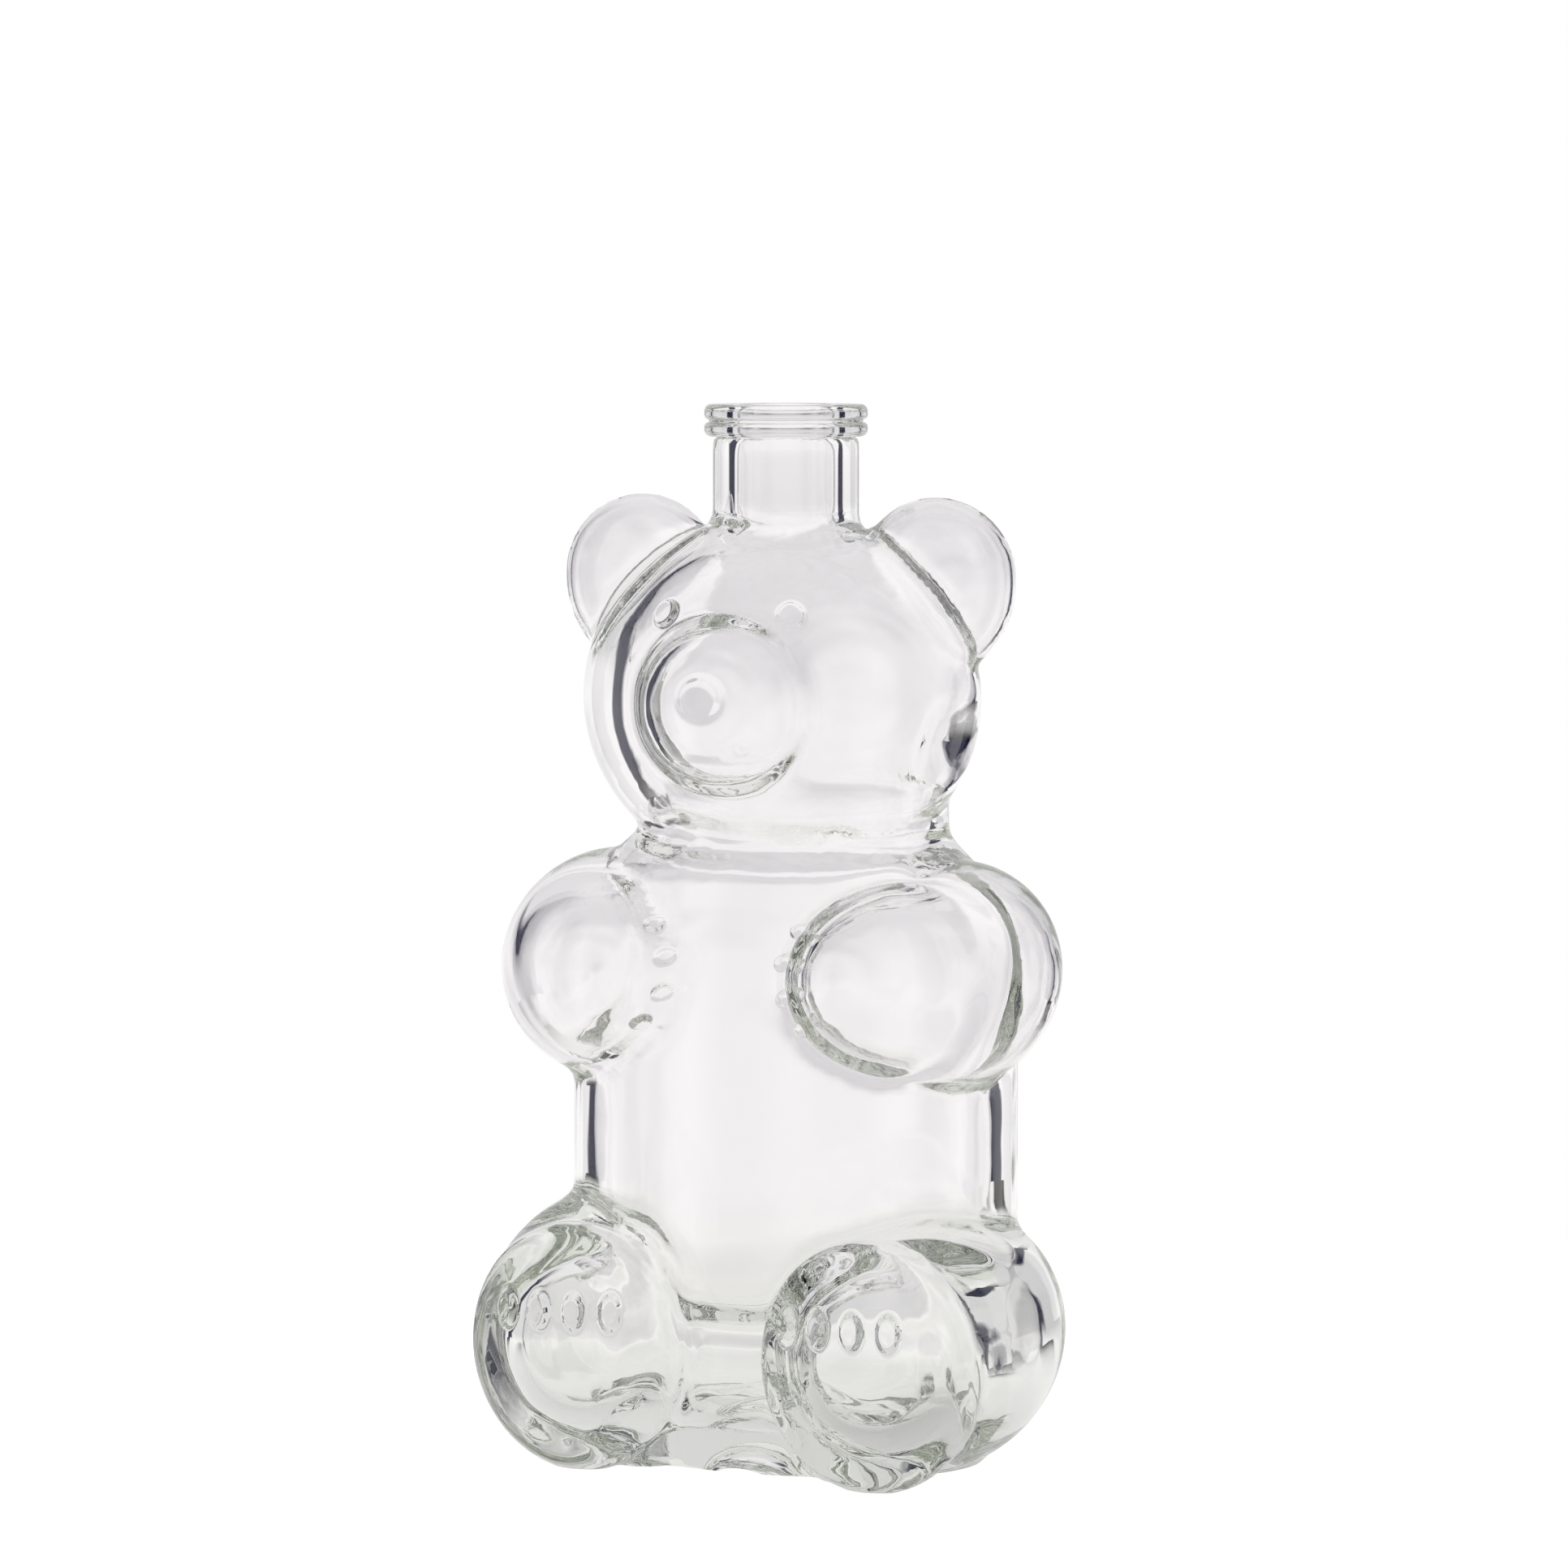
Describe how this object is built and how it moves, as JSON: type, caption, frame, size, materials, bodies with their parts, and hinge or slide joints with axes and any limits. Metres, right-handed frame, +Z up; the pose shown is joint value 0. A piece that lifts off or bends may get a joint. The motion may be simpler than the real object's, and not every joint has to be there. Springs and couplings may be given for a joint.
{
  "type": "bear-shaped glass bottle",
  "caption": "Hollow glass bottle in the shape of a sitting bear, with a straight neck and a beaded open mouth for a stopper.",
  "frame": {"origin": "centre of the flat base, under the axis of the neck's bore", "axes": "+Z up along the neck's bore, the bear faces -Y, +X is the bear's left"},
  "size_m": [0.1078, 0.0734, 0.1895],
  "materials": {
    "clear_glass": "clear, fire-polished"
  },
  "bodies": {
    "root": {"glass_bottle": "clear_glass"}
  },
  "joints": []
}
